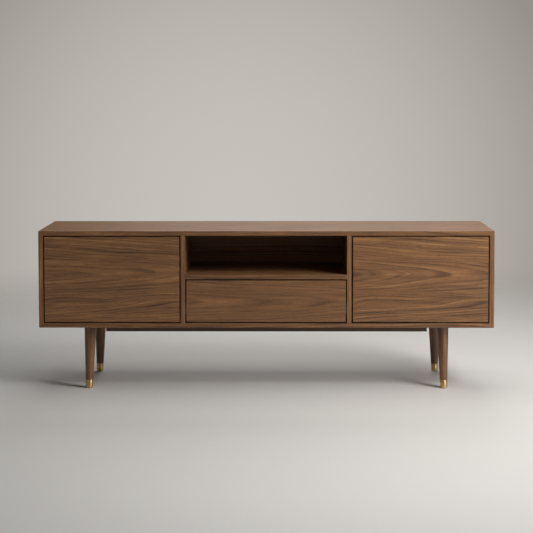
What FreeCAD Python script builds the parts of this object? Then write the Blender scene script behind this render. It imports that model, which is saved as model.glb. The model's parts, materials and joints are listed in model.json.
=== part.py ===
import FreeCAD, Part
import math
import os

os.makedirs("parts", exist_ok=True)

# Low media cabinet on four splayed legs: a mitred case with a door bay at each end and, between
# them, an open niche over a drawer. X runs along the case, the front faces -Y and +Z is up.
# The origin is on the floor, under the middle of the case. All sizes are in millimetres.

# Case
overall_width = 1800.0
overall_depth = 400.0
overall_height = 632.0
leg_height = 248.0              # floor to the underside of the case
panel = 18.0                    # thickness of every case panel
niche_width = 640.0             # clear width between the dividers
drawer_opening = 175.0          # clear height of the drawer's opening
reveal = 5.0                    # gap round each door and the drawer front
outer_round = 1.0               # eased outer edges of the case
inner_round = 0.6               # eased front edges inside it

# Backs, let into a rebate round the rear of the case
back_thickness = 8.0
back_inset = 20.0               # rear of the case to the front face of the backs
rebate_width = 9.0
back_clearance = 1.0
port_radius = 27.0              # clear radius of a cable port
port_wall = 3.0
port_lip = 4.0
port_lip_thickness = 2.0

# Joinery
spline_width = 12.0
spline_thickness = 3.0
spline_end_gap = 16.0           # the splines stop this far from the front and the rebate
dowel_radius = 4.0
dowel_length = 30.0
dowel_depth_in_panel = 10.0

# Bay shelves on pegs
bay_shelf_front_gap = 50.0
bay_shelf_rear_gap = 15.0
bay_shelf_end_gap = 1.5
shelf_peg_radius = 2.5
shelf_peg_length = 16.0
shelf_peg_collar = 1.0
shelf_peg_inset = 45.0          # from the shelf's front and rear edges
peg_pitch = 32.0

# Legs
leg_inset_side = 198.0          # end of the case to the leg's axis, at the case
leg_inset_front = 46.0
splay = 1.4                     # degrees outwards, to the side and to the front or rear
leg_top_radius = 24.0
ferrule_height = 33.0
ferrule_top_radius = 15.0
foot_radius = 13.8
ferrule_wall = 1.2
ferrule_proud = 0.3
ferrule_floor_gap = 1.5
glide_radius = 10.0
glide_thickness = 3.0
leg_plate_radius = 22.5
leg_plate_thickness = 2.5
hanger_radius = 4.0
hanger_depth_in_leg = 45.0
hanger_depth_in_panel = 9.0

# Rails under the case
rail_height = 23.0
rail_thickness = 20.0
rail_end_gap = 62.0             # leg axis to the end of the rail

# Doors and their concealed cup hinges
door_thickness = 18.0
door_round = 0.8
hinge_end_distance = 60.0       # door's top or bottom edge to the hinge
cup_radius = 17.5
cup_depth = 12.0
cup_wall = 1.0
cup_offset = 4.5                # hinge pin to the cup's centre
pin_height = 5.0                # cup's floor to the hinge pin
pin_radius = 2.0
pin_clearance = 0.05
swing_clearance = 1.9           # door's front corner to the case as it turns
knuckle_radius = 3.6
arm_thickness = 2.5
arm_height = 14.0
arm_reach = 12.5                # hinge pin to the arm, into the bay
arm_tail = 46.0
hinge_plate_thickness = 6.0
hinge_plate_width = 30.0
hinge_plate_height = 50.0
flange_thickness = 1.2

# Push latches
latch_width = 16.0
latch_depth = 20.0
latch_length = 44.0
latch_flange = 8.0
latch_flange_thickness = 3.0
plunger_radius = 3.5
plunger_clearance = 0.05
plunger_length = 40.0
plunger_projection = 5.6        # nose beyond the housing when the front is shut
plunger_gap = 0.4               # nose to what it pushes
latch_below_ceiling = 46.0
strike_thickness = 1.0
strike_width = 10.0
strike_height = 24.0

# Drawer and its three-part runners
drawer_board = 12.0
drawer_height = 130.0
drawer_floor_gap = 5.0
drawer_bottom_thickness = 6.0
drawer_bottom_height = 8.0      # drawer's lower edge to its bottom
groove_depth = 5.0
housing_depth = 4.0             # drawer front and back let into the sides
runner_thickness = 12.7
runner_height = 45.0
runner_steel = 1.2
runner_axis_height = 49.0       # drawer's lower edge to the runner's centre line
runner_front_gap = 4.0
runner_rear_gap = 6.0
ball_radius = 1.8
ball_clearance = 0.05
balls_in_row = 5

# Screws
case_screw_radius = 2.0
small_screw_radius = 1.5

# Planes that the pieces share
half_width = overall_width / 2
front = -overall_depth / 2
rear = overall_depth / 2
under = leg_height
top = overall_height
inside_x = half_width - panel
floor_z = under + panel
ceiling_z = top - panel
back_face = rear - back_inset
divider_inner = niche_width / 2
divider_outer = divider_inner + panel
shelf_low = floor_z + drawer_opening
shelf_high = shelf_low + panel
past = 1.0                      # how far a cutter runs past the face it cuts

pieces = {}


def point(x, y, z):
    return FreeCAD.Vector(x, y, z)


left_way = point(-1, 0, 0)
right_way = point(1, 0, 0)
front_way = point(0, -1, 0)
rear_way = point(0, 1, 0)
down_way = point(0, 0, -1)
up_way = point(0, 0, 1)


def block(x0, x1, y0, y1, z0, z1):
    return Part.makeBox(x1 - x0, y1 - y0, z1 - z0, point(x0, y0, z0))


def placed(shape, place, way):
    # The shape moved from the origin to the place, with its +Z turned to the given way.
    moved = shape.copy()
    moved.Placement = FreeCAD.Placement(place, FreeCAD.Rotation(up_way, way))
    return moved


def turned(outline, place, way):
    # A solid turned from (radius, height) corners, standing on the place and pointing along the way.
    corners = [point(radius, 0, height) for radius, height in outline]
    face = Part.Face(Part.makePolygon(corners + corners[:1]))
    return placed(face.revolve(point(0, 0, 0), up_way, 360), place, way)


def rod(radius, place, way, length):
    return Part.makeCylinder(radius, length, place, way)


def eased(shape, radius, wanted):
    edges = [edge for edge in shape.Edges if wanted(edge.CenterOfMass)]
    return shape.makeFillet(radius, edges)


def mirrored(shape):
    return shape.mirror(point(0, 0, 0), right_way)


def both_sides(shapes):
    return shapes + [mirrored(shape) for shape in shapes]


def cut_from(hosts, cutters):
    for host in hosts:
        pieces[host] = pieces[host].cut(Part.makeCompound(cutters))


def drive_screws(hosts, places, way, length, radius):
    # Sinks countersunk screws into their hosts, flush with the first one, and returns them.
    outline = [(0, 0), (2 * radius, 0), (radius, radius), (radius, length - 2 * radius), (0, length)]
    plain = turned(outline, point(0, 0, 0), up_way)
    arm = 1.2 * radius
    slot = 0.25 * radius
    recess = block(-arm, arm, -slot, slot, -past, slot * 2)
    recess = recess.fuse(block(-slot, slot, -arm, arm, -past, slot * 2))
    driven = plain.cut(recess)
    cut_from(hosts, [placed(plain, place, way) for place in places])
    return [placed(driven, place, way) for place in places]


def make_case():
    shell = block(-half_width, half_width, front, rear, under, top)
    shell = shell.makeFillet(outer_round, shell.Edges)
    hollow = block(-inside_x, inside_x, front - past, rear + past, floor_z, ceiling_z)
    rebate = block(-inside_x - rebate_width, inside_x + rebate_width, back_face, rear + past,
                   floor_z - rebate_width, ceiling_z + rebate_width)
    ring = shell.cut(hollow).cut(rebate)

    def inner_front_edge(middle):
        inside = abs(middle.x) <= inside_x + 0.01 and floor_z - 0.01 <= middle.z <= ceiling_z + 0.01
        return inside and abs(middle.y - front) < 0.01

    ring = eased(ring, inner_round, inner_front_edge)
    # The ring comes apart along 45 degree planes through its four corners.
    out = panel
    inwards = 2 * panel
    wide = half_width + out
    narrow = half_width - inwards
    wedges = {
        "top_panel": [(-wide, top + out), (wide, top + out),
                      (narrow, top - inwards), (-narrow, top - inwards)],
        "bottom_panel": [(-wide, under - out), (wide, under - out), (narrow, under + inwards),
                         (-narrow, under + inwards)],
        "left_side_panel": [(-wide, under - out), (-wide, top + out), (-narrow, top - inwards),
                            (-narrow, under + inwards)],
        "right_side_panel": [(wide, under - out), (wide, top + out), (narrow, top - inwards),
                             (narrow, under + inwards)],
    }
    for name, corners in wedges.items():
        outline = [point(x, front - past, z) for x, z in corners]
        wedge = Part.Face(Part.makePolygon(outline + outline[:1]))
        pieces[name] = ring.common(wedge.extrude(point(0, overall_depth + 2 * past, 0)))


def make_splines():
    splines = []
    strip = block(-spline_width / 2, spline_width / 2, front + spline_end_gap, back_face - spline_end_gap,
                  -spline_thickness / 2, spline_thickness / 2)
    for side, side_name in ((-1, "left_side_panel"), (1, "right_side_panel")):
        for level, level_name in ((-1, "bottom_panel"), (1, "top_panel")):
            middle_z = top - panel / 2 if level > 0 else under + panel / 2
            spline = strip.copy()
            spline.Placement = FreeCAD.Placement(point(side * (half_width - panel / 2), 0, middle_z),
                                                 FreeCAD.Rotation(point(0, 1, 0), 45 * side * level))
            cut_from([side_name, level_name], [spline])
            splines.append(spline)
    pieces["mitre_splines"] = Part.makeCompound(splines)


def make_dividers():
    def front_edge(middle):
        return abs(middle.y - front) < 0.01

    divider = block(-divider_outer, -divider_inner, front, back_face, floor_z, ceiling_z)
    divider = eased(divider, inner_round,
                    lambda middle: front_edge(middle) and floor_z < middle.z < ceiling_z)
    pieces["left_divider"] = divider
    pieces["right_divider"] = mirrored(divider)
    shelf = block(-divider_inner, divider_inner, front, back_face, shelf_low, shelf_high)
    shelf = eased(shelf, inner_round, lambda middle: front_edge(middle) and abs(middle.x) < 1)
    pieces["niche_shelf"] = shelf


def make_dowels():
    outline = [(0, 0), (dowel_radius - 0.5, 0), (dowel_radius, 0.5), (dowel_radius, dowel_length - 0.5),
               (dowel_radius - 0.5, dowel_length), (0, dowel_length)]
    middle_y = (front + back_face) / 2
    spread = (back_face - front) * 0.37
    divider_x = (divider_inner + divider_outer) / 2
    upright = []
    level = []
    for y in (middle_y - spread, middle_y, middle_y + spread):
        upright.append(turned(outline, point(-divider_x, y, floor_z - dowel_depth_in_panel), up_way))
        upright.append(turned(outline, point(-divider_x, y, ceiling_z + dowel_depth_in_panel), down_way))
        level.append(turned(outline, point(-divider_inner - dowel_depth_in_panel, y, shelf_low + panel / 2),
                            right_way))
    upright = both_sides(upright)
    level = both_sides(level)
    cut_from(["top_panel", "bottom_panel", "left_divider", "right_divider"], upright)
    cut_from(["niche_shelf", "left_divider", "right_divider"], level)
    pieces["panel_dowels"] = Part.makeCompound(upright + level)


def make_backs():
    low = floor_z - rebate_width + back_clearance
    high = ceiling_z + rebate_width - back_clearance
    outer = inside_x + rebate_width - back_clearance
    meeting = (divider_inner + divider_outer) / 2
    half_gap = back_clearance / 2
    bay_back = block(-outer, -meeting - half_gap, back_face, back_face + back_thickness, low, high)
    pieces["centre_back_panel"] = block(-meeting + half_gap, meeting - half_gap, back_face,
                                        back_face + back_thickness, low, high)
    # A cable port low in each bay back, lined with a plastic ring that has its lip inside the bay.
    port_x = -(inside_x + divider_outer) / 2
    port_z = (floor_z + bay_shelf_low()) / 2
    ring_outline = [(port_radius, -port_lip_thickness),
                    (port_radius + port_wall + port_lip, -port_lip_thickness),
                    (port_radius + port_wall + port_lip, 0), (port_radius + port_wall, 0),
                    (port_radius + port_wall, back_thickness), (port_radius, back_thickness)]
    ring = turned(ring_outline, point(port_x, back_face, port_z), rear_way)
    hole = rod(port_radius + port_wall, point(port_x, back_face - past, port_z), rear_way,
               back_thickness + 2 * past)
    bay_back = bay_back.cut(hole)
    pieces["left_back_panel"] = bay_back
    pieces["right_back_panel"] = mirrored(bay_back)
    pieces["cable_grommets"] = Part.makeCompound(both_sides([ring]))

    # The screws go into the panels' rear edges: the case all round, then the dividers.
    face = back_face + back_thickness
    edge_in = (rebate_width - back_clearance) / 2
    rows = []
    for x in (-inside_x - edge_in, -meeting - panel / 4, -meeting + panel / 4):
        rows += [point(x, face, floor_z + share * (ceiling_z - floor_z)) for share in (0.1, 0.5, 0.9)]
    for x in (port_x, -divider_inner / 2):
        rows += [point(x, face, floor_z - edge_in), point(x, face, ceiling_z + edge_in)]
    places = rows + [point(-place.x, place.y, place.z) for place in rows]
    hosts = ["left_back_panel", "centre_back_panel", "right_back_panel", "left_divider", "right_divider",
             "left_side_panel", "right_side_panel", "top_panel", "bottom_panel"]
    pieces["back_screws"] = Part.makeCompound(
        drive_screws(hosts, places, front_way, back_thickness + 17, small_screw_radius))


def bay_shelf_low():
    return (floor_z + ceiling_z - panel) / 2


def make_bay_shelves():
    low = bay_shelf_low()
    shelf_front = front + bay_shelf_front_gap
    shelf_rear = back_face - bay_shelf_rear_gap
    shelf = block(-inside_x + bay_shelf_end_gap, -divider_outer - bay_shelf_end_gap, shelf_front, shelf_rear,
                  low, low + panel)
    shelf = eased(shelf, inner_round, lambda middle: abs(middle.y - shelf_front) < 0.01)
    pieces["left_bay_shelf"] = shelf
    pieces["right_bay_shelf"] = mirrored(shelf)
    peg_outline = [(0, 0), (shelf_peg_radius, 0), (shelf_peg_radius, shelf_peg_length / 2),
                   (shelf_peg_radius + 1, shelf_peg_length / 2),
                   (shelf_peg_radius + 1, shelf_peg_length / 2 + shelf_peg_collar),
                   (shelf_peg_radius, shelf_peg_length / 2 + shelf_peg_collar),
                   (shelf_peg_radius, shelf_peg_length), (0, shelf_peg_length)]
    peg_z = low - shelf_peg_radius
    pegs = []
    holes = []
    for y in (shelf_front + shelf_peg_inset, shelf_rear - shelf_peg_inset):
        for x, way in ((-inside_x - shelf_peg_length / 2, right_way), (-divider_outer + shelf_peg_length / 2,
                                                                       left_way)):
            pegs.append(turned(peg_outline, point(x, y, peg_z), way))
            holes += [rod(shelf_peg_radius, point(x, y, peg_z + step * peg_pitch), way, shelf_peg_length / 2)
                      for step in (-1, 0, 1)]
    # Each peg's collar stands in the gap at the shelf's end.
    cut_from(["left_side_panel", "left_divider"], holes)
    cut_from(["right_side_panel", "right_divider"], [mirrored(hole) for hole in holes])
    pieces["shelf_pegs"] = Part.makeCompound(both_sides(pegs))


def make_legs():
    lean = math.tan(math.radians(splay))
    reach = under / math.cos(math.atan(lean * math.sqrt(2)))
    leg_outline = [(0, -glide_thickness), (foot_radius - ferrule_wall, -glide_thickness),
                   (ferrule_top_radius - ferrule_wall, ferrule_height), (ferrule_top_radius, ferrule_height),
                   (leg_top_radius, reach + leg_top_radius * lean), (0, reach + leg_top_radius * lean)]
    ferrule_outline = [(foot_radius - ferrule_wall, -glide_thickness),
                       (foot_radius + ferrule_proud, -glide_thickness),
                       (ferrule_top_radius + ferrule_proud, ferrule_height),
                       (ferrule_top_radius - ferrule_wall, ferrule_height)]
    names = {(-1, -1): "front_left_leg", (1, -1): "front_right_leg",
             (-1, 1): "rear_left_leg", (1, 1): "rear_right_leg"}
    ferrules = []
    glides = []
    plates = []
    hangers = []
    screw_places = []
    plate_low = under - leg_plate_thickness
    for (side, end), name in names.items():
        top_x = side * (half_width - leg_inset_side)
        top_y = end * (rear - leg_inset_front)
        foot = point(top_x + side * lean * under, top_y + end * lean * under, 0)
        way = point(top_x, top_y, under) - foot
        reach_box = 3 * leg_top_radius
        column = block(top_x - reach_box, top_x + reach_box, top_y - reach_box, top_y + reach_box,
                       glide_thickness, plate_low)
        pieces[name] = turned(leg_outline, foot, way).common(column)
        above_floor = block(top_x - reach_box, top_x + reach_box, top_y - reach_box, top_y + reach_box,
                            ferrule_floor_gap, under)
        ferrules.append(turned(ferrule_outline, foot, way).common(above_floor))
        glide = rod(glide_radius, foot, up_way, glide_thickness)
        glides.append(eased(glide, 0.6, lambda middle: abs(middle.z) < 0.01))
        plates.append(rod(leg_plate_radius, point(top_x, top_y, plate_low), up_way, leg_plate_thickness))
        hanger = rod(hanger_radius, foot, way, reach + 2 * hanger_depth_in_panel)
        hangers.append(hanger.common(block(top_x - reach_box, top_x + reach_box, top_y - reach_box,
                                           top_y + reach_box, under - hanger_depth_in_leg,
                                           under + hanger_depth_in_panel)))
        for turn in range(3):
            angle = math.radians(90 + 120 * turn)
            screw_places.append(point(top_x + 0.7 * leg_plate_radius * math.cos(angle),
                                      top_y + 0.7 * leg_plate_radius * math.sin(angle), plate_low))
    pieces["leg_ferrules"] = Part.makeCompound(ferrules)
    pieces["leg_glides"] = Part.makeCompound(glides)
    pieces["leg_plates"] = Part.makeCompound(plates)
    pieces["hanger_bolts"] = Part.makeCompound(hangers)
    cut_from(list(names.values()) + ["leg_plates", "bottom_panel"], hangers)
    pieces["leg_plate_screws"] = Part.makeCompound(
        drive_screws(["leg_plates", "bottom_panel"], screw_places, up_way, 15, case_screw_radius))


def make_rails():
    rail_half = half_width - leg_inset_side - rail_end_gap
    rail_front = front + leg_inset_front
    low = under - rail_height
    inner_y = -rail_front - rail_thickness
    lower_edge = lambda middle: abs(middle.z - low) < 0.01
    long_rail = block(-rail_half, rail_half, rail_front, rail_front + rail_thickness, low, under)
    long_rail = eased(long_rail, outer_round, lower_edge)
    cross_rail = eased(block(-rail_half, -rail_half + rail_thickness, -inner_y, inner_y, low, under),
                       outer_round, lambda middle: lower_edge(middle) and abs(middle.y) < 1)
    pieces["front_rail"] = long_rail
    pieces["rear_rail"] = long_rail.mirror(point(0, 0, 0), rear_way)
    pieces["cross_rails"] = Part.makeCompound(both_sides([cross_rail]))
    rail_y = rail_front + rail_thickness / 2
    places = [point(share * rail_half, side * rail_y, low)
              for share in (-0.9, -0.45, 0, 0.45, 0.9) for side in (-1, 1)]
    places += [point(side * (rail_half - rail_thickness / 2), end * inner_y / 2, low)
               for side in (-1, 1) for end in (-1, 1)]
    pieces["rail_screws"] = Part.makeCompound(
        drive_screws(["front_rail", "rear_rail", "cross_rails", "bottom_panel"], places, up_way,
                     rail_height + 13, case_screw_radius))


# The hinge pin is as far from the door's edge as lets the front corner turn clear of the case.
pivot_depth = door_thickness - cup_depth + pin_height
free_gap = reveal - swing_clearance
pivot_setback = (pivot_depth ** 2 - free_gap ** 2) / (2 * free_gap)
swing_radius = pivot_setback + free_gap
door_outer = inside_x - reveal
door_inner = divider_outer + reveal
door_low = floor_z + reveal
door_high = ceiling_z - reveal
door_back = front + door_thickness
pivot_x = -(door_outer - pivot_setback)
pivot_y = front + pivot_depth


def ribbon(corners, thickness, low, high):
    # A strip of the given thickness along a line of (x, y) corners, mitred at each bend.
    lines = [point(x, y, low) for x, y in corners]
    one_side = []
    other_side = []
    for place, corner in enumerate(lines):
        before = (corner - lines[place - 1]).normalize() if place else (lines[1] - corner).normalize()
        after = (lines[place + 1] - corner).normalize() if place + 1 < len(lines) else before
        along = (before + after).normalize()
        across = point(-along.y, along.x, 0)
        half = thickness / 2 / along.dot(after)
        one_side.append(corner + across * half)
        other_side.insert(0, corner - across * half)
    outline = one_side + other_side
    return Part.Face(Part.makePolygon(outline + outline[:1])).extrude(point(0, 0, high - low))


def make_doors():
    # Everything here is for the left door; the right one is its mirror image.
    panel_shape = block(-door_outer, -door_inner, front, door_back, door_low, door_high)
    pieces["left_door_panel"] = panel_shape.makeFillet(door_round, panel_shape.Edges)
    hinge_heights = (door_low + hinge_end_distance, door_high - hinge_end_distance)
    cup_x = pivot_x + cup_offset
    half_arm = arm_height / 2
    cross_y = pivot_y + swing_radius + 2 * arm_thickness
    arm_x = -inside_x + hinge_plate_thickness + arm_thickness / 2
    plate_y = cross_y + arm_tail / 2
    cups = []
    pins = []
    arms = []
    plates = []
    cup_screws = []
    plate_screws = []
    arm_screws = []
    for z in hinge_heights:
        bowl = rod(cup_radius, point(cup_x, door_back, z), front_way, cup_depth)
        lip = rod(cup_radius + 1.5, point(cup_x, door_back, z), rear_way, flange_thickness)
        wings = block(cup_x - 8, cup_x + 12, door_back, door_back + flange_thickness, z - 29, z + 29)
        wings = eased(wings, 4, lambda middle: abs(middle.y - door_back - flange_thickness / 2) < 0.01)
        hollow = rod(cup_radius - cup_wall, point(cup_x, door_back + flange_thickness, z), front_way,
                     cup_depth - cup_wall + flange_thickness)
        pin_half = math.sqrt(cup_radius ** 2 - cup_offset ** 2) - 0.3
        pin = rod(pin_radius, point(pivot_x, pivot_y, z - pin_half), up_way, 2 * pin_half)
        cups.append(bowl.fuse([lip, wings]).cut(hollow).removeSplitter().cut(pin))
        pins.append(pin)
        cut_from(["left_door_panel"], [bowl, pin])

        knuckle = rod(knuckle_radius, point(pivot_x, pivot_y, z - half_arm), up_way, arm_height)
        bends = [(pivot_x, pivot_y), (pivot_x + arm_reach - 1, pivot_y + 3.5), (pivot_x + arm_reach, cross_y),
                 (arm_x, cross_y + 2), (arm_x, cross_y + arm_tail)]
        strip = ribbon(bends, arm_thickness, z - half_arm, z + half_arm)
        bore = rod(pin_radius + pin_clearance, point(pivot_x, pivot_y, z - half_arm - past), up_way,
                   arm_height + 2 * past)
        arms.append(knuckle.fuse(strip).cut(bore).removeSplitter())
        plate = block(-inside_x, -inside_x + hinge_plate_thickness, plate_y - hinge_plate_width / 2,
                      plate_y + hinge_plate_width / 2, z - hinge_plate_height / 2, z + hinge_plate_height / 2)
        plates.append(eased(plate, 1.5,
                            lambda middle: abs(middle.x + inside_x - hinge_plate_thickness) < 0.01))
        screw_out = hinge_plate_height / 2 - 8
        for side in (-1, 1):
            cup_screws.append(point(cup_x + 4, door_back + flange_thickness, z + side * 24))
            plate_screws.append(point(-inside_x + hinge_plate_thickness, plate_y, z + side * screw_out))
        arm_screws.append(point(arm_x + arm_thickness / 2, plate_y, z))
    pieces["left_hinge_cups"] = Part.makeCompound(cups)
    pieces["left_hinge_pins"] = Part.makeCompound(pins)
    pieces["hinge_arms"] = Part.makeCompound(arms)
    pieces["hinge_plates"] = Part.makeCompound(plates)
    pieces["left_cup_screws"] = Part.makeCompound(
        drive_screws(["left_hinge_cups", "left_door_panel"], cup_screws, front_way, 12, small_screw_radius))
    into_side = drive_screws(["hinge_plates", "left_side_panel"], plate_screws, left_way,
                             hinge_plate_thickness + 12, case_screw_radius)
    into_side += drive_screws(["hinge_arms", "hinge_plates"], arm_screws, left_way,
                              arm_thickness + hinge_plate_thickness - 1, case_screw_radius)
    right_screws = [mirrored(screw) for screw in into_side]
    cut_from(["right_side_panel"], right_screws)
    pieces["hinge_mounting_screws"] = Part.makeCompound(into_side + right_screws)
    for name in ("hinge_arms", "hinge_plates"):
        pieces[name] = Part.makeCompound(both_sides(pieces[name].Solids))

    # The strike plate is stuck on where the latch pushes, near the door's free edge.
    strike_x = -divider_outer - latch_depth / 2
    strike_z = ceiling_z - latch_below_ceiling
    pieces["left_strike_plate"] = block(strike_x - strike_width / 2, strike_x + strike_width / 2, door_back,
                                        door_back + strike_thickness, strike_z - strike_height / 2,
                                        strike_z + strike_height / 2)
    for name in ("door_panel", "hinge_cups", "hinge_pins", "cup_screws", "strike_plate"):
        pieces["right_" + name] = mirrored(pieces["left_" + name])


def make_latches():
    # A latch stands on its flange, with its plunger coming out at the end that faces -Y.
    body = block(-latch_width / 2, latch_width / 2, 0, latch_length, 0, latch_depth)
    flange = block(-latch_width / 2 - latch_flange, latch_width / 2 + latch_flange, latch_length * 0.25,
                   latch_length * 0.75, 0, latch_flange_thickness)
    axis_z = latch_depth / 2
    bore = rod(plunger_radius + plunger_clearance, point(0, -past, axis_z), rear_way,
               plunger_length - plunger_projection + past + 2)
    housing = eased(body, 1, lambda middle: middle.z > 0.01).fuse(flange).cut(bore).removeSplitter()
    plunger = rod(plunger_radius, point(0, -plunger_projection, axis_z), rear_way, plunger_length)
    plunger = eased(plunger, 1.2, lambda middle: abs(middle.y + plunger_projection) < 0.01)
    screw_x = (latch_width + latch_flange) / 2
    screw_spots = [point(side * screw_x, latch_length / 2, latch_flange_thickness) for side in (-1, 1)]

    door_place = FreeCAD.Placement(
        point(-divider_outer, door_back + strike_thickness + plunger_gap + plunger_projection,
              ceiling_z - latch_below_ceiling), FreeCAD.Rotation(point(0, 1, 0), -90))
    drawer_place = FreeCAD.Placement(point(0, drawer_rear + plunger_gap + plunger_projection, floor_z),
                                     FreeCAD.Rotation())

    def stood(shape, place):
        moved = shape.copy()
        moved.Placement = place
        return moved

    pieces["latch_housings"] = Part.makeCompound(
        both_sides([stood(housing, door_place)]) + [stood(housing, drawer_place)])
    pieces["left_latch_plunger"] = stood(plunger, door_place)
    pieces["right_latch_plunger"] = mirrored(pieces["left_latch_plunger"])
    pieces["drawer_latch_plunger"] = stood(plunger, drawer_place)
    on_left = [door_place.multVec(spot) for spot in screw_spots]
    on_right = [point(-spot.x, spot.y, spot.z) for spot in on_left]
    on_floor = [drawer_place.multVec(spot) for spot in screw_spots]
    screw_length = latch_flange_thickness + 12
    screws = drive_screws(["latch_housings", "left_divider"], on_left, right_way, screw_length,
                          small_screw_radius)
    screws += drive_screws(["latch_housings", "right_divider"], on_right, left_way, screw_length,
                           small_screw_radius)
    screws += drive_screws(["latch_housings", "bottom_panel"], on_floor, down_way, screw_length,
                           small_screw_radius)
    pieces["latch_screws"] = Part.makeCompound(screws)


# The drawer ends where its latch begins, and its runners end a little short of it.
drawer_rear = back_face - 2 - latch_length - plunger_gap - plunger_projection
drawer_side_x = divider_inner - runner_thickness
drawer_low = floor_z + drawer_floor_gap
drawer_high = drawer_low + drawer_height
runner_z = drawer_low + runner_axis_height
runner_start = door_back + runner_front_gap
runner_end = drawer_rear - runner_rear_gap


def make_drawer():
    inner_x = drawer_side_x - drawer_board
    housed_x = inner_x + housing_depth
    bottom_low = drawer_low + drawer_bottom_height
    drawer_front = block(-divider_inner + reveal, divider_inner - reveal, front, door_back, floor_z + reveal,
                         shelf_low - reveal)
    pieces["drawer_front"] = drawer_front.makeFillet(door_round, drawer_front.Edges)
    sub_front = block(-housed_x, housed_x, door_back, door_back + drawer_board, drawer_low, drawer_high)
    back = block(-housed_x, housed_x, drawer_rear - drawer_board, drawer_rear, drawer_low, drawer_high)
    bottom = block(-inner_x - groove_depth, inner_x + groove_depth, door_back + drawer_board - groove_depth,
                   drawer_rear - drawer_board + groove_depth,
                   bottom_low, bottom_low + drawer_bottom_thickness)
    side = block(-drawer_side_x, -inner_x, door_back, drawer_rear, drawer_low, drawer_high)
    side = side.cut(Part.makeCompound([sub_front, back])).cut(bottom)
    pieces["drawer_sub_front"] = sub_front.cut(bottom)
    pieces["drawer_back"] = back.cut(bottom)
    pieces["drawer_bottom"] = bottom
    pieces["drawer_left_side"] = side
    pieces["drawer_right_side"] = mirrored(side)


def make_runners():
    # Three nested channels on each side of the drawer, drawn for the left and mirrored.
    wall_x = -divider_inner
    steel = runner_steel
    ball_gap = 2 * (ball_radius + ball_clearance)
    outer_half = runner_height / 2
    middle_half = outer_half - steel - ball_gap
    inner_half = middle_half - steel - ball_gap

    def channel(web_x, open_x, half_height):
        low_x, high_x = sorted((web_x, open_x))
        hollow_from = web_x + math.copysign(steel, open_x - web_x)
        hollow_to = open_x + math.copysign(past, open_x - web_x)
        hollow_low, hollow_high = sorted((hollow_from, hollow_to))
        bar = block(low_x, high_x, runner_start, runner_end, runner_z - half_height, runner_z + half_height)
        return bar.cut(block(hollow_low, hollow_high, runner_start - past, runner_end + past,
                             runner_z - half_height + steel, runner_z + half_height - steel))

    web_gap = 2 * steel
    drawer_x = -drawer_side_x
    outer_member = channel(wall_x, drawer_x - 2 * steel, outer_half)
    middle_member = channel(wall_x + web_gap, drawer_x - steel, middle_half)
    inner_member = channel(drawer_x, wall_x + 2 * web_gap, inner_half)

    # The outer rows of balls stay in the middle member's rear half and the inner rows in its front half,
    # so that both are held when the drawer is fully out.
    half_length = (runner_end - runner_start) / 2
    pitch = half_length / balls_in_row
    ball_x = wall_x + runner_thickness / 2
    balls = []
    for row_half, row_start in ((middle_half + ball_gap / 2, runner_start + half_length),
                                (inner_half + ball_gap / 2, runner_start)):
        for level in (-1, 1):
            for count in range(balls_in_row):
                balls.append(Part.makeSphere(ball_radius, point(ball_x, row_start + (count + 0.5) * pitch,
                                                                runner_z + level * row_half)))
    pieces["runner_cabinet_members"] = Part.makeCompound(both_sides([outer_member]))
    pieces["runner_middle_members"] = Part.makeCompound(both_sides([middle_member]))
    pieces["runner_drawer_members"] = Part.makeCompound(both_sides([inner_member]))
    pieces["runner_balls"] = Part.makeCompound(both_sides(balls))

    # Flat-headed screws: into the dividers, and into the drawer's sides.
    head = 0.8
    flat_screw = [(0, -head), (2 * small_screw_radius, -head), (2 * small_screw_radius, 0),
                  (small_screw_radius, 0),
                  (small_screw_radius, drawer_board - 3), (0, drawer_board - 1)]
    places = [runner_start + share * 2 * half_length for share in (0.12, 0.5, 0.88)]
    cabinet = [turned(flat_screw, point(wall_x + steel, y, runner_z), left_way) for y in places]
    on_drawer = [turned(flat_screw, point(drawer_x - steel, y, runner_z), right_way) for y in places]
    cabinet = both_sides(cabinet)
    on_drawer = both_sides(on_drawer)
    cut_from(["runner_cabinet_members", "left_divider", "right_divider"], cabinet)
    cut_from(["runner_drawer_members", "drawer_left_side", "drawer_right_side"], on_drawer)
    pieces["runner_cabinet_screws"] = Part.makeCompound(cabinet)

    # Four screws through the sub-front pull the walnut front on.
    screw_x = drawer_side_x * 0.75
    middle_z = (drawer_low + drawer_high) / 2
    front_spots = [point(side * screw_x, door_back + drawer_board, middle_z + level * 35)
                   for side in (-1, 1) for level in (-1, 1)]
    front_screws = drive_screws(["drawer_sub_front", "drawer_front"], front_spots, front_way,
                                drawer_board + 12, case_screw_radius)
    pieces["drawer_screws"] = Part.makeCompound(front_screws + on_drawer)


make_case()
make_splines()
make_dividers()
make_dowels()
make_backs()
make_bay_shelves()
make_legs()
make_rails()
make_doors()
make_drawer()
make_latches()
make_runners()

for name, shape in pieces.items():
    shape.exportStep("parts/" + name + ".step")
print(len(pieces), "nodes")
print("hinge pin", round(pivot_x, 3), round(pivot_y, 3), "drawer rear", drawer_rear,
      "runner length", runner_end - runner_start)
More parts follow.
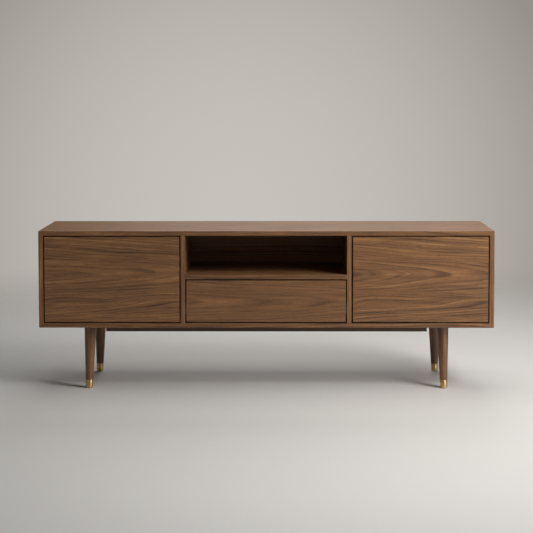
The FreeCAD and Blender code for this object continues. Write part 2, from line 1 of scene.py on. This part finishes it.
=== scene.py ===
import bpy
import json
import math
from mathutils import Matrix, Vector


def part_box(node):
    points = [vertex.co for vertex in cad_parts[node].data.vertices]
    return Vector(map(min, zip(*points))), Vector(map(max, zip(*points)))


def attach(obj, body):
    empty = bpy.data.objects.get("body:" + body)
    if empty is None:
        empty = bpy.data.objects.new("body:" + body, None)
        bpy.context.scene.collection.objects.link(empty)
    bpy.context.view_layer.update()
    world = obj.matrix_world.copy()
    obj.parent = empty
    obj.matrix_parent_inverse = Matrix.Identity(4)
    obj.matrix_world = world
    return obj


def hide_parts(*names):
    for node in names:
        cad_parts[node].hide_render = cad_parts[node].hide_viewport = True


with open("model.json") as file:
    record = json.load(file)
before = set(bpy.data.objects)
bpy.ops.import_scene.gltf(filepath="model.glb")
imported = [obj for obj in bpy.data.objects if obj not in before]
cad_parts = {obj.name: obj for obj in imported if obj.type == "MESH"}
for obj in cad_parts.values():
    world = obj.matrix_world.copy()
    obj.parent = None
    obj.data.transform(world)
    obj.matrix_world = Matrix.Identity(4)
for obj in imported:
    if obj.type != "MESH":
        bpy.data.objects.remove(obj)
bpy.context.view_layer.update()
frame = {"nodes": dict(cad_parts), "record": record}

cadNodes = frame["nodes"]
print("stage 1: frame loaded,", len(cadNodes), "CAD pieces")


def linear(hexColour):
    # an sRGB hex colour as the linear RGBA that the shaders take
    parts = [int(hexColour[start:start + 2], 16) / 255 for start in (1, 3, 5)]
    colour = [value / 12.92 if value <= 0.04045 else ((value + 0.055) / 1.055) ** 2.4 for value in parts]
    return colour + [1.0]


def addNode(tree, kind, inputs=None, stops=(), **settings):
    # a node with its settings, its socket values or links and, on a ramp, its (place, hex colour) stops
    node = tree.nodes.new("ShaderNode" + kind)
    for name, value in settings.items():
        setattr(node, name, value)
    for socket, value in (inputs or {}).items():
        if isinstance(value, bpy.types.NodeSocket):
            tree.links.new(value, node.inputs[socket])
        else:
            node.inputs[socket].default_value = value
    for count, (place, hexColour) in enumerate(stops):
        element = node.color_ramp.elements[count] if count < 2 else node.color_ramp.elements.new(place)
        element.position = place
        element.color = linear(hexColour)
    return node


def newMaterial(name):
    material = bpy.data.materials.new(name)
    material.use_nodes = True
    tree = material.node_tree
    tree.nodes.clear()
    shader = addNode(tree, "BsdfPrincipled")
    addNode(tree, "OutputMaterial", {"Surface": shader.outputs["BSDF"]})
    return material, tree, shader


def paint(node, material):
    # a CAD piece, by name, or a new one takes the material and keeps its shape
    piece = cadNodes[node] if isinstance(node, str) else node
    piece.data.materials.clear()
    piece.data.materials.append(material)


def deselectAll():
    if bpy.context.object and bpy.context.object.mode != "OBJECT":
        bpy.ops.object.mode_set(mode="OBJECT")
    bpy.ops.object.select_all(action="DESELECT")


# Walnut, crown cut and lacquered satin: brown heartwood whose growth lines run level, waver and close
# into arches, with silky fibres and short open pores.
walnut = {
    "dark": "#4b321d",        # latewood lines and pores
    "shade": "#724f32",
    "middle": "#895f3b",      # the heartwood's own colour
    "light": "#ad8054",       # earlywood streaks
    "ringWidth": 0.0098,      # between growth lines on a crown-cut face
    "ringDrift": 1.3,         # how many rings early or late a line may come
    "fibreWidth": 0.0018,     # real fibres are finer than this; drawn coarse enough to show
    "poreWidth": 0.0008,      # real pores are about 0.2 mm wide; drawn coarse enough to show
    "roughness": 0.42,        # satin lacquer
}
# Each texture's waves a metre along the grain and across it, and its detail.
walnutTextures = {
    "fibre": (9.0, 0.5 / walnut["fibreWidth"], 3.0),
    "streak": (3.5, 85.0, 3.0),
    "pore": (55.0, 0.5 / walnut["poreWidth"], 1.0),
    "fade": (6.0, 45.0, 2.0),
    "cloud": (2.0, 6.0, 2.0),
}
# How much each texture moves the tone.
toneShares = {"ring": 0.85, "fibre": 0.6, "streak": 0.9, "cloud": 0.25}
# The grain's slow and quick wander: waves a metre along and across, detail, and share of the board's wander.
wanders = ((1.5, 7.0, 1.0, 1.0), (4.0, 22.0, 2.0, 0.12))

# How a piece's own axes turn into along, across and through the board.
grainTurns = {
    "alongX": (math.radians(-90), 0, 0),      # upright faces with level grain
    "alongY": (0, 0, math.radians(-90)),      # parts that run from front to back
    "flatX": (0, 0, 0),                       # tops and shelves
    "alongZ": (0, math.radians(90), 0),       # uprights
}


def walnutBoard(name, board):
    # growth rings stand about a pith behind the face, and arches are hills that push the rings aside
    material, tree, shader = newMaterial(name)
    place = addNode(tree, "TexCoord").outputs["Object"]
    turned = addNode(tree, "Mapping", {"Vector": place, "Rotation": grainTurns[board["grain"]]}).outputs[0]
    # two scales of wander, long along the board and short across it
    bent = turned
    for lengthways, across, detail, share in wanders:
        sway = board["wander"] * share
        stretched = addNode(tree, "Mapping", {"Vector": turned, "Scale": (lengthways, across, across)})
        noise = addNode(tree, "TexNoise", {"Vector": stretched.outputs[0], "Scale": 1.0, "Detail": detail})
        away = addNode(tree, "VectorMath", {0: noise.outputs["Color"], 1: (0.5, 0.5, 0.5)},
                       operation="SUBTRACT")
        bent = addNode(tree, "VectorMath", {0: away.outputs[0], 1: (sway * 2, sway, sway), 2: bent},
                       operation="MULTIPLY_ADD").outputs[0]
    centred = addNode(tree, "Mapping", {"Vector": bent, "Scale": (0.0, 1.0, 1.0),
                                        "Location": (0.0, -board["pith"][0], -board["pith"][1])})
    radius = addNode(tree, "VectorMath", {0: centred.outputs[0]}, operation="LENGTH")
    rings = addNode(tree, "Math", {0: radius.outputs["Value"], 1: 1 / walnut["ringWidth"]},
                    operation="MULTIPLY").outputs[0]
    # the trunk tapers, so a board cut close to its heart shows nested arches
    along = addNode(tree, "SeparateXYZ", {0: bent}).outputs[0]
    rings = addNode(tree, "Math", {0: along, 1: board["taper"], 2: rings},
                    operation="MULTIPLY_ADD").outputs[0]
    for middle, across, reach, height, strength in board["arches"]:
        hill = addNode(tree, "Mapping", {"Vector": bent, "Scale": (1 / reach, 1 / height, 0.0),
                                         "Location": (-middle / reach, -across / height, 0.0)})
        away = addNode(tree, "VectorMath", {0: hill.outputs[0]}, operation="LENGTH")
        raised = addNode(tree, "MapRange", {"Value": away.outputs["Value"], "To Min": strength,
                                            "To Max": 0.0}, interpolation_type="SMOOTHSTEP")
        rings = addNode(tree, "Math", {0: rings, 1: raised.outputs[0]}, operation="ADD").outputs[0]
    # rings of uneven width and darkness, and each line fades in and out along the board
    uneven = addNode(tree, "TexNoise", {"W": rings, "Scale": 0.75, "Detail": 4.0, "Roughness": 0.62},
                     noise_dimensions="1D").outputs[0]
    shifted = addNode(tree, "Math", {0: uneven, 1: walnut["ringDrift"], 2: rings}, operation="MULTIPLY_ADD")
    saw = addNode(tree, "Math", {0: shifted.outputs[0]}, operation="FRACT")
    # each ring darkens slowly into its latewood and ends sharply
    late = addNode(tree, "MapRange", {"Value": saw.outputs[0], "From Min": 0.35, "From Max": 0.85},
                   interpolation_type="SMOOTHERSTEP")
    early = addNode(tree, "MapRange", {"Value": saw.outputs[0], "From Min": 0.82, "From Max": 1.0,
                                       "To Min": 1.0, "To Max": 0.0})
    line = addNode(tree, "Math", {0: late.outputs[0], 1: early.outputs[0]}, operation="MULTIPLY")
    # fibres, silky streaks, pores, fading and slow clouds of colour, each stretched along the grain
    textures = {"ring": uneven}
    for layer, (lengthways, across, detail) in walnutTextures.items():
        stretched = addNode(tree, "Mapping", {"Vector": bent, "Scale": (lengthways, across, across)})
        textures[layer] = addNode(tree, "TexNoise", {"Vector": stretched.outputs[0], "Scale": 1.0,
                                                     "Detail": detail, "Roughness": 0.6}).outputs[0]
    pores = addNode(tree, "MapRange", {"Value": textures["pore"], "From Min": 0.60, "From Max": 0.70,
                                       "To Max": 0.6}).outputs[0]
    faded = addNode(tree, "MapRange", {"Value": textures["fade"], "From Min": 0.35, "From Max": 0.60,
                                       "To Min": 0.25}).outputs[0]
    drawn = addNode(tree, "Math", {0: line.outputs[0], 1: faded}, operation="MULTIPLY")
    # tone: 0 is the darkest wood and 1 the palest
    tone = addNode(tree, "Math", {0: drawn.outputs[0], 1: -board["lines"], 2: board["tone"]},
                   operation="MULTIPLY_ADD")
    for layer, share in toneShares.items():
        away = addNode(tree, "Math", {0: textures[layer], 1: 0.5}, operation="SUBTRACT")
        tone = addNode(tree, "Math", {0: away.outputs[0], 1: share * board["figure"], 2: tone.outputs[0]},
                       operation="MULTIPLY_ADD")
    colour = addNode(tree, "ValToRGB", {"Fac": tone.outputs[0]},
                     stops=[(0.0, walnut["dark"]), (1.0, walnut["light"]), (0.36, walnut["shade"]),
                            (0.62, walnut["middle"])])
    pored = addNode(tree, "Mix", {0: pores, 6: colour.outputs[0], 7: linear(walnut["dark"])},
                    data_type="RGBA")
    height = addNode(tree, "Math", {0: pores, 1: -0.8, 2: textures["fibre"]}, operation="MULTIPLY_ADD")
    bump = addNode(tree, "Bump", {"Height": height.outputs[0], "Strength": 0.25, "Distance": 0.0004})
    gloss = addNode(tree, "MapRange", {"Value": tone.outputs[0], "From Min": 0.2, "From Max": 0.9,
                                       "To Min": walnut["roughness"] + 0.05,
                                       "To Max": walnut["roughness"] - 0.03})
    tree.links.new(pored.outputs[2], shader.inputs["Base Color"])
    tree.links.new(bump.outputs[0], shader.inputs["Normal"])
    tree.links.new(gloss.outputs[0], shader.inputs["Roughness"])
    return material


# What a board is unless it says otherwise. Its wander is in metres and its taper in rings a metre, and its
# arches are hills; lines, figure and tone run from 0 to about 1.
plainBoard = {"made": "walnutVeneer", "wander": 0.035, "taper": 0.0, "arches": (), "lines": 0.46,
              "figure": 1.0, "tone": 0.62}


def walnutPiece(node, changes):
    board = {**plainBoard, **changes}
    paint(node, walnutBoard(board["made"] + "." + node, board))


# Each board's pith is where the tree's heart lies beside it: across the board, and through it.
# painted shade: the rails take the darkest tone, standing for the shade under the case's overhang
railWoodPaintedShade = {"made": "solidWalnut", "pith": (0.0, 0.4), "tone": 0.0, "lines": 0.2, "figure": 0.6}
# painted light: the back panels are paler than the other walnut, standing for light reaching the back of the
# niche
backVeneerPaintedLight = {"grain": "alongX", "pith": (-0.3, -0.5), "tone": 0.90, "figure": 0.7}
boards = {
    "drawer_front": {"grain": "alongX", "pith": (0.352, 0.168), "taper": 4.5, "lines": 0.34, "figure": 0.8,
                     "tone": 0.57},
    "top_panel": {"grain": "flatX", "pith": (0.45, 0.3)},
    "bottom_panel": {"grain": "flatX", "pith": (-0.4, 0.1), "tone": 0.55},
    "niche_shelf": {"grain": "flatX", "pith": (0.35, 0.2), "tone": 0.46},
    "left_bay_shelf": {"grain": "flatX", "pith": (0.4, 0.3)},
    "right_bay_shelf": {"grain": "flatX", "pith": (-0.4, 0.3)},
    "left_side_panel": {"grain": "alongZ", "pith": (0.3, -0.6)},
    "right_side_panel": {"grain": "alongZ", "pith": (-0.3, 0.6)},
    # painted shade: the left divider's lower tone stands for the shade on its face inside the niche
    "left_divider": {"grain": "alongZ", "pith": (0.35, -0.1), "tone": 0.5},
    "right_divider": {"grain": "alongZ", "pith": (-0.35, 0.1)},
    "left_back_panel": backVeneerPaintedLight,
    "centre_back_panel": backVeneerPaintedLight,
    "right_back_panel": backVeneerPaintedLight,
    "front_rail": {"grain": "alongX", **railWoodPaintedShade},
    "rear_rail": {"grain": "alongX", **railWoodPaintedShade},
    "cross_rails": {"grain": "alongY", **railWoodPaintedShade},
}
# Both doors carry the next leaf of one veneer: arches that point right, with a low eye on the left.
doorVeneer = {
    "heart": 0.56,            # the pith's height as a share of the door's
    "heartDepth": 0.150,      # and its place through the board, close behind the face
    "taper": 6.5,
    # each hill's along, across, reach and half height as shares of the door, and the rings it pushes aside
    "hills": ((0.10, 0.28, 0.42, 0.13, 1.8), (0.92, 0.26, 0.50, 0.10, 1.5), (0.45, 0.80, 0.60, 0.10, 0.8)),
}


def doorBoard(node):
    low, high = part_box(node)
    width, height = high.x - low.x, high.z - low.z
    arches = [(low.x + along * width, low.z + across * height, reach * width, tall * height, rings)
              for along, across, reach, tall, rings in doorVeneer["hills"]]
    pith = (low.z + doorVeneer["heart"] * height, doorVeneer["heartDepth"])
    return {"grain": "alongX", "pith": pith, "taper": doorVeneer["taper"], "arches": arches}


for node in ("left_door_panel", "right_door_panel"):
    walnutPiece(node, doorBoard(node))
for node, changes in boards.items():
    walnutPiece(node, changes)
print("stage 2: walnut boards")


# Ferrules, turned from brass tube and brushed round: warm yellow metal whose fine level scratches
# stretch every light into an upright band.
brass = {
    "colour": "#e2c08a",
    "dull": "#c49e66",
    "roughness": 0.33,
    "stretch": 0.85,          # how far the shine is drawn out along the leg
    "brushing": 0.0008,       # real scratches are under 0.1 mm apart; drawn coarse enough to show
}


def brushedBrass():
    material, tree, shader = newMaterial("brushedBrass")
    place = addNode(tree, "TexCoord").outputs["Object"]
    rounds = addNode(tree, "Mapping", {"Vector": place, "Scale": (25.0, 25.0, 0.5 / brass["brushing"])})
    scratches = addNode(tree, "TexNoise", {"Vector": rounds.outputs[0], "Scale": 1.0, "Detail": 3.0})
    wear = addNode(tree, "TexNoise", {"Vector": place, "Scale": 90.0, "Detail": 3.0})
    colour = addNode(tree, "ValToRGB", {"Fac": wear.outputs[0]}, stops=[(0.35, brass["dull"]),
                                                                        (0.6, brass["colour"])])
    rough = addNode(tree, "MapRange", {"Value": scratches.outputs[0], "To Min": brass["roughness"] - 0.08,
                                       "To Max": brass["roughness"] + 0.08})
    bump = addNode(tree, "Bump", {"Height": scratches.outputs[0], "Strength": 0.08, "Distance": 0.0002})
    # the scratches run round the leg, so the shine is drawn out along it
    upright = addNode(tree, "CombineXYZ", {"Z": 1.0})
    shader.inputs["Metallic"].default_value = 1.0
    shader.inputs["Anisotropic"].default_value = brass["stretch"]
    tree.links.new(colour.outputs[0], shader.inputs["Base Color"])
    tree.links.new(rough.outputs[0], shader.inputs["Roughness"])
    tree.links.new(bump.outputs[0], shader.inputs["Normal"])
    tree.links.new(upright.outputs[0], shader.inputs["Tangent"])
    return material


# Bright zinc plate on pressed steel: cool grey, slightly cloudy, with a rolled grain.
zinc = {
    "colour": "#b9bcc0",
    "dull": "#8f9398",
    "roughness": 0.34,
    "cloud": 140.0,           # cloudy patches a metre
    "rolling": (900.0, 60.0, 900.0),
}


def zincPlate():
    material, tree, shader = newMaterial("zincPlatedSteel")
    place = addNode(tree, "TexCoord").outputs["Object"]
    spangle = addNode(tree, "TexNoise", {"Vector": place, "Scale": zinc["cloud"], "Detail": 4.0})
    rolled = addNode(tree, "Mapping", {"Vector": place, "Scale": zinc["rolling"]})
    rolling = addNode(tree, "TexNoise", {"Vector": rolled.outputs[0], "Scale": 1.0, "Detail": 2.0})
    colour = addNode(tree, "ValToRGB", {"Fac": spangle.outputs[0]}, stops=[(0.35, zinc["dull"]),
                                                                           (0.65, zinc["colour"])])
    rough = addNode(tree, "MapRange", {"Value": spangle.outputs[0], "To Min": zinc["roughness"] - 0.1,
                                       "To Max": zinc["roughness"] + 0.14})
    bump = addNode(tree, "Bump", {"Height": rolling.outputs[0], "Strength": 0.1, "Distance": 0.0002})
    shader.inputs["Metallic"].default_value = 1.0
    tree.links.new(colour.outputs[0], shader.inputs["Base Color"])
    tree.links.new(rough.outputs[0], shader.inputs["Roughness"])
    tree.links.new(bump.outputs[0], shader.inputs["Normal"])
    return material


# Black nylon and ABS, moulded in a spark-eroded tool: deep grey with a fine even grain.
plastic = {
    "colour": "#1b1b1c",
    "worn": "#2a2a2b",
    "roughness": 0.52,
    "grain": 0.0006,          # real grain is about 0.1 mm; drawn coarse enough to show
}


def mouldedPlastic():
    material, tree, shader = newMaterial("mouldedNylon")
    place = addNode(tree, "TexCoord").outputs["Object"]
    grain = addNode(tree, "TexNoise", {"Vector": place, "Scale": 0.5 / plastic["grain"], "Detail": 2.0})
    haze = addNode(tree, "TexNoise", {"Vector": place, "Scale": 30.0, "Detail": 2.0})
    colour = addNode(tree, "ValToRGB", {"Fac": haze.outputs[0]}, stops=[(0.35, plastic["colour"]),
                                                                        (0.7, plastic["worn"])])
    bump = addNode(tree, "Bump", {"Height": grain.outputs[0], "Strength": 0.3, "Distance": 0.0002})
    shader.inputs["Roughness"].default_value = plastic["roughness"]
    tree.links.new(colour.outputs[0], shader.inputs["Base Color"])
    tree.links.new(bump.outputs[0], shader.inputs["Normal"])
    return material


# Birch plywood with a clear matt lacquer: creamy face veneer, and thin dark and pale layers on its edges.
birch = {
    "pale": "#d9bd93",
    "deep": "#c19f72",
    "fleck": "#a98459",       # flecks in the face, and the darker layers on the edge
    "layer": 0.0014,
    "roughness": 0.55,
}


def birchPlywood(name, grain, layerAxis):
    # layerAxis is the piece's own axis through its layers, which show as stripes on the edges
    material, tree, shader = newMaterial(name)
    place = addNode(tree, "TexCoord").outputs["Object"]
    turned = addNode(tree, "Mapping", {"Vector": place, "Rotation": grainTurns[grain]}).outputs[0]
    stretched = addNode(tree, "Mapping", {"Vector": turned, "Scale": (3.0, 60.0, 60.0)})
    figure = addNode(tree, "TexNoise", {"Vector": stretched.outputs[0], "Scale": 1.0, "Detail": 4.0})
    fleckMap = addNode(tree, "Mapping", {"Vector": turned, "Scale": (60.0, 900.0, 900.0)})
    fleck = addNode(tree, "TexNoise", {"Vector": fleckMap.outputs[0], "Scale": 1.0, "Detail": 1.0})
    flecks = addNode(tree, "MapRange", {"Value": fleck.outputs[0], "From Min": 0.62, "From Max": 0.75})
    colour = addNode(tree, "ValToRGB", {"Fac": figure.outputs[0]}, stops=[(0.3, birch["deep"]),
                                                                          (0.62, birch["pale"])])
    flecked = addNode(tree, "Mix", {0: flecks.outputs[0], 6: colour.outputs[0], 7: linear(birch["fleck"])},
                      data_type="RGBA").outputs[2]
    # stripes, kept to the faces that are not square to the layers
    axes = addNode(tree, "SeparateXYZ", {0: place})
    facing = addNode(tree, "SeparateXYZ", {0: addNode(tree, "NewGeometry").outputs["Normal"]})
    count = addNode(tree, "Math", {0: axes.outputs[layerAxis], 1: 1 / birch["layer"]}, operation="MULTIPLY")
    stripe = addNode(tree, "Math", {0: count.outputs[0], 1: 2.0}, operation="PINGPONG")
    square = addNode(tree, "Math", {0: facing.outputs[layerAxis]}, operation="ABSOLUTE")
    edge = addNode(tree, "Math", {0: square.outputs[0], 1: 0.5}, operation="LESS_THAN")
    shown = addNode(tree, "MapRange", {"Value": stripe.outputs[0], "From Min": 0.9, "From Max": 1.1,
                                       "To Max": 0.75})
    both = addNode(tree, "Math", {0: shown.outputs[0], 1: edge.outputs[0]}, operation="MULTIPLY")
    striped = addNode(tree, "Mix", {0: both.outputs[0], 6: flecked, 7: linear(birch["fleck"])},
                      data_type="RGBA")
    bump = addNode(tree, "Bump", {"Height": figure.outputs[0], "Strength": 0.15, "Distance": 0.0004})
    shader.inputs["Roughness"].default_value = birch["roughness"]
    tree.links.new(striped.outputs[2], shader.inputs["Base Color"])
    tree.links.new(bump.outputs[0], shader.inputs["Normal"])
    return material


# Beech dowels, turned and left bare: pinkish tan with short darker flecks.
beech = {
    "colour": "#cfa47c",
    "deep": "#b98a61",
    "fleck": 0.0012,
    "roughness": 0.6,
}


def turnedBeech():
    material, tree, shader = newMaterial("turnedBeech")
    place = addNode(tree, "TexCoord").outputs["Object"]
    flecks = addNode(tree, "TexNoise", {"Vector": place, "Scale": 0.5 / beech["fleck"], "Detail": 2.0})
    colour = addNode(tree, "ValToRGB", {"Fac": flecks.outputs[0]}, stops=[(0.35, beech["deep"]),
                                                                          (0.6, beech["colour"])])
    bump = addNode(tree, "Bump", {"Height": flecks.outputs[0], "Strength": 0.2, "Distance": 0.0002})
    shader.inputs["Roughness"].default_value = beech["roughness"]
    tree.links.new(colour.outputs[0], shader.inputs["Base Color"])
    tree.links.new(bump.outputs[0], shader.inputs["Normal"])
    return material


metal = zincPlate()
black = mouldedPlastic()
for part in frame["record"]["subparts"]:
    if part["material_slot"] == "zinc_plated_steel":
        paint(part["node"], metal)
    elif part["material_slot"] == "black_plastic":
        paint(part["node"], black)
paint("drawer_left_side", birchPlywood("birchPlywood.sides", "alongY", 0))
paint("drawer_right_side", cadNodes["drawer_left_side"].data.materials[0])
paint("drawer_sub_front", birchPlywood("birchPlywood.ends", "alongX", 1))
paint("drawer_back", cadNodes["drawer_sub_front"].data.materials[0])
paint("drawer_bottom", birchPlywood("birchPlywood.bottom", "flatX", 2))
paint("mitre_splines", cadNodes["drawer_bottom"].data.materials[0])
paint("panel_dowels", turnedBeech())
print("stage 3: metals, plastic and plywood")


# Solid walnut, turned and lacquered satin: the veneer's brown with its lines running down the leg; those at
# the rear are drawn darker as painted shade, standing for the shadow of the case above them.
legWood = {"made": "solidWalnut", "grain": "alongZ", "wander": 0.012}
legs = {
    "front_left_leg": {"pith": (0.05, 0.80), "tone": 0.48},
    "front_right_leg": {"pith": (0.05, -0.80), "tone": 0.48},
    # painted shade: the rear legs' lower tone stands for the case's shadow over them
    "rear_left_leg": {"pith": (0.05, 0.80), "tone": 0.38},
    "rear_right_leg": {"pith": (0.05, -0.80), "tone": 0.38},
}
for node, changes in legs.items():
    walnutPiece(node, {**legWood, **changes})


# Ferrules: a brass tube on each foot, with a rounded rim at the top and a turned groove under it.
ferrule = {
    "facets": 96,
    "smoothUpTo": 50,         # degrees between faces that shade as one
    "wall": 0.0012,
    "taper": 0.00115,         # rim's radius less the foot's
    "rimRound": 0.0005,
    "grooveDrop": 0.0042,     # rim to the middle of the groove
    "grooveDepth": 0.00035,
    "grooveWidth": 0.0009,
    "footRound": 0.0007,
}
# a leg's centre line: (x, y) at its top, its lean outwards both ways, and the height of its top
legAxis = {"top": (0.702, 0.154), "lean": math.tan(math.radians(1.4)), "height": 0.248}


def ferruleRings(low, high, footRadius, rimRadius):
    # (height, radius) from the foot up the outside, over the rim and down inside to the foot again
    def outside(z):
        return footRadius + (rimRadius - footRadius) * (z - low) / (high - low)
    wall, rim, soft = ferrule["wall"], ferrule["rimRound"], ferrule["footRound"]
    groove, wide, deep = high - ferrule["grooveDrop"], ferrule["grooveWidth"], ferrule["grooveDepth"]
    return [(low, outside(low) - soft), (low + soft * 0.3, outside(low) - soft * 0.3),
            (low + soft, outside(low)), ((low + groove) / 2, outside((low + groove) / 2)),
            (groove - wide, outside(groove)), (groove - wide * 0.5, outside(groove) - deep * 0.8),
            (groove, outside(groove) - deep), (groove + wide * 0.5, outside(groove) - deep * 0.8),
            (groove + wide, outside(groove)), (high - rim, outside(high)),
            (high - rim * 0.3, outside(high) - rim * 0.3), (high, outside(high) - rim),
            (high, outside(high) - wall), (low, outside(low) - wall)]


def turnFerrule():
    # the front left one, drawn out ring by ring along its leaning axis
    low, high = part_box("leg_ferrules")
    rimRadius = high.y - legAxis["top"][1] - legAxis["lean"] * (legAxis["height"] - high.z)
    rings = ferruleRings(low.z, high.z, rimRadius - ferrule["taper"], rimRadius)

    def centre(z):
        out = legAxis["lean"] * (legAxis["height"] - z)
        return Vector((-legAxis["top"][0] - out, -legAxis["top"][1] - out, z))
    deselectAll()
    height, radius = rings[0]
    bpy.ops.mesh.primitive_circle_add(vertices=ferrule["facets"], radius=radius, location=centre(height))
    piece = bpy.context.object
    bpy.ops.object.transform_apply(location=True, rotation=True, scale=True)
    bpy.ops.object.mode_set(mode="EDIT")
    bpy.ops.mesh.select_mode(type="EDGE")
    bpy.ops.mesh.select_all(action="SELECT")
    for nextHeight, nextRadius in rings[1:] + rings[:1]:
        place = centre(nextHeight)
        bpy.ops.mesh.extrude_region_move(TRANSFORM_OT_translate={"value": place - centre(height)})
        share = nextRadius / radius
        bpy.ops.transform.resize(value=(share, share, 1.0), center_override=place)
        height, radius = nextHeight, nextRadius
    bpy.ops.mesh.select_all(action="SELECT")
    bpy.ops.mesh.remove_doubles(threshold=0.00001)
    bpy.ops.mesh.normals_make_consistent(inside=False)
    bpy.ops.object.mode_set(mode="OBJECT")
    bpy.ops.object.shade_smooth_by_angle(angle=math.radians(ferrule["smoothUpTo"]))
    return piece


def mirrorFerrule(first, across, back):
    # a copy with its own mesh, flipped to another leg, where -1 flips left to right or front to rear
    deselectAll()
    first.select_set(True)
    bpy.context.view_layer.objects.active = first
    bpy.ops.object.duplicate(linked=False)
    piece = bpy.context.object
    piece.scale = (across, back, 1.0)
    bpy.ops.object.transform_apply(location=False, rotation=False, scale=True)
    bpy.ops.object.mode_set(mode="EDIT")
    bpy.ops.mesh.select_all(action="SELECT")
    bpy.ops.mesh.normals_make_consistent(inside=False)
    bpy.ops.object.mode_set(mode="OBJECT")
    return piece


frontLeft = turnFerrule()
ferrules = {
    "frontLeftFerrule": frontLeft,
    "frontRightFerrule": mirrorFerrule(frontLeft, -1, 1),
    "rearLeftFerrule": mirrorFerrule(frontLeft, 1, -1),
    "rearRightFerrule": mirrorFerrule(frontLeft, -1, -1),
}
ferruleBrass = brushedBrass()
for name, piece in ferrules.items():
    piece.name = name
    paint(piece, ferruleBrass)
    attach(piece, "case")
    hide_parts("leg_ferrules")
print("stage 4: legs and ferrules")


# Pale seamless floor that fades into the studio's backdrop, a lens and soft lamps.
studio = {
    "floor": "#d3d0cb",
    "floorMiddle": (0, -0.4, 0),
    "floorRoughness": 0.55,
    "fadeFrom": 1.7,          # metres from the middle of the floor
    "fadeTo": 4.2,
    "backdrop": "#c6c1bb",    # behind the object, where it is brightest
    "backdropAim": (-0.03, 1.0, -0.09),
    "backdropEdge": 0.968,    # cosine of the angle from there to where the corners' colour starts
    "corner": "#96918a",
    "glow": 0.03,             # light from all round
    "glowColour": "#fffdfb",
    "lens": 91.13,
    "shift": -0.2,
    "cameraPlace": (0.0564, -5.4942, 1.2011),
    "cameraTurn": (90 - 3.111, 0.07, 0.582),
    # place, what it points at, width, height, power
    "lamps": {
        "key": ((2.6, -1.6, 2.6), (0.1, 0.0, 0.3), 1.2, 1.2, 64.0),
        "near": ((1.6, -1.2, 1.9), (0.3, 0.0, 0.3), 0.8, 0.8, 15.0),
        "front": ((3.0, -2.8, 2.3), (0.1, 0.0, 0.3), 1.2, 1.2, 22.0),
        "side": ((2.0, -0.7, 3.2), (0.1, 0.0, 0.3), 1.2, 1.2, 15.0),
        "above": ((0.0, 0.3, 3.4), (0.0, 0.0, 0.0), 2.6, 2.0, 34.0),
        "back": ((0.3, 2.8, 2.8), (0.2, 0.6, 0.0), 2.6, 1.6, 42.0),
        "fill": ((-3.2, -3.4, 2.2), (0.0, 0.0, 0.3), 2.4, 1.8, 8.0),
        # low and narrow, and lights nothing matt: it draws the bright band down the polished metal
        "strip": ((2.2, -2.0, 0.7), (0.0, 0.0, 0.2), 0.5, 1.3, 10.0),
    },
}


def makeFloor():
    deselectAll()
    bpy.ops.mesh.primitive_circle_add(vertices=96, radius=studio["fadeTo"] + 0.5, fill_type="NGON",
                                      location=studio["floorMiddle"])
    floor = bpy.context.object
    floor.name = "floor"
    bpy.ops.object.transform_apply(location=True)
    material, tree, shader = newMaterial("studioFloor")
    shader.inputs["Base Color"].default_value = linear(studio["floor"])
    shader.inputs["Roughness"].default_value = studio["floorRoughness"]
    place = addNode(tree, "TexCoord").outputs["Object"]
    back = [-value for value in studio["floorMiddle"]]
    centred = addNode(tree, "Mapping", {"Vector": place, "Location": back})
    distance = addNode(tree, "VectorMath", {0: centred.outputs[0]}, operation="LENGTH")
    fade = addNode(tree, "MapRange", {"Value": distance.outputs["Value"], "From Min": studio["fadeFrom"],
                                      "From Max": studio["fadeTo"]}, interpolation_type="SMOOTHSTEP")
    clear = addNode(tree, "BsdfTransparent")
    mixed = addNode(tree, "MixShader", {0: fade.outputs[0], 1: shader.outputs[0], 2: clear.outputs[0]})
    for node in tree.nodes:
        if node.bl_idname == "ShaderNodeOutputMaterial":
            tree.links.new(mixed.outputs[0], node.inputs["Surface"])
    paint(floor, material)


def makeBackdrop():
    world = bpy.data.worlds.new("studio")
    bpy.context.scene.world = world
    world.use_nodes = True
    tree = world.node_tree
    tree.nodes.clear()
    direction = addNode(tree, "TexCoord").outputs["Generated"]
    aim = Vector(studio["backdropAim"]).normalized()
    towards = addNode(tree, "VectorMath", {0: direction, 1: aim}, operation="DOT_PRODUCT")
    falloff = addNode(tree, "MapRange", {"Value": towards.outputs["Value"],
                                         "From Min": studio["backdropEdge"]})
    colour = addNode(tree, "ValToRGB", {"Fac": falloff.outputs[0]}, stops=[(0.0, studio["corner"]),
                                                                           (1.0, studio["backdrop"])])
    seen = addNode(tree, "Background", {"Color": colour.outputs[0]})
    light = addNode(tree, "Background", {"Color": linear(studio["glowColour"]), "Strength": studio["glow"]})
    path = addNode(tree, "LightPath")
    mixed = addNode(tree, "MixShader", {0: path.outputs["Is Camera Ray"], 1: light.outputs[0],
                                        2: seen.outputs[0]})
    addNode(tree, "OutputWorld", {"Surface": mixed.outputs[0]})


def makeLamps():
    for name, (place, target, width, height, power) in studio["lamps"].items():
        aim = (Vector(target) - Vector(place)).to_track_quat("-Z", "Y").to_euler()
        bpy.ops.object.light_add(type="AREA", location=place, rotation=aim)
        lamp = bpy.context.object
        lamp.name = name + "Lamp"
        lamp.data.shape = "RECTANGLE"
        lamp.data.size = width
        lamp.data.size_y = height
        lamp.data.energy = power
        lamp.visible_camera = False
        lamp.visible_diffuse = name != "strip"


def makeCamera():
    turn = [math.radians(angle) for angle in studio["cameraTurn"]]
    bpy.ops.object.camera_add(location=studio["cameraPlace"], rotation=turn)
    camera = bpy.context.object
    camera.data.lens = studio["lens"]
    camera.data.shift_y = studio["shift"]
    bpy.context.scene.camera = camera


makeFloor()
makeBackdrop()
makeLamps()
makeCamera()
bpy.context.scene.view_settings.view_transform = "Standard"
print("stage 5: studio")
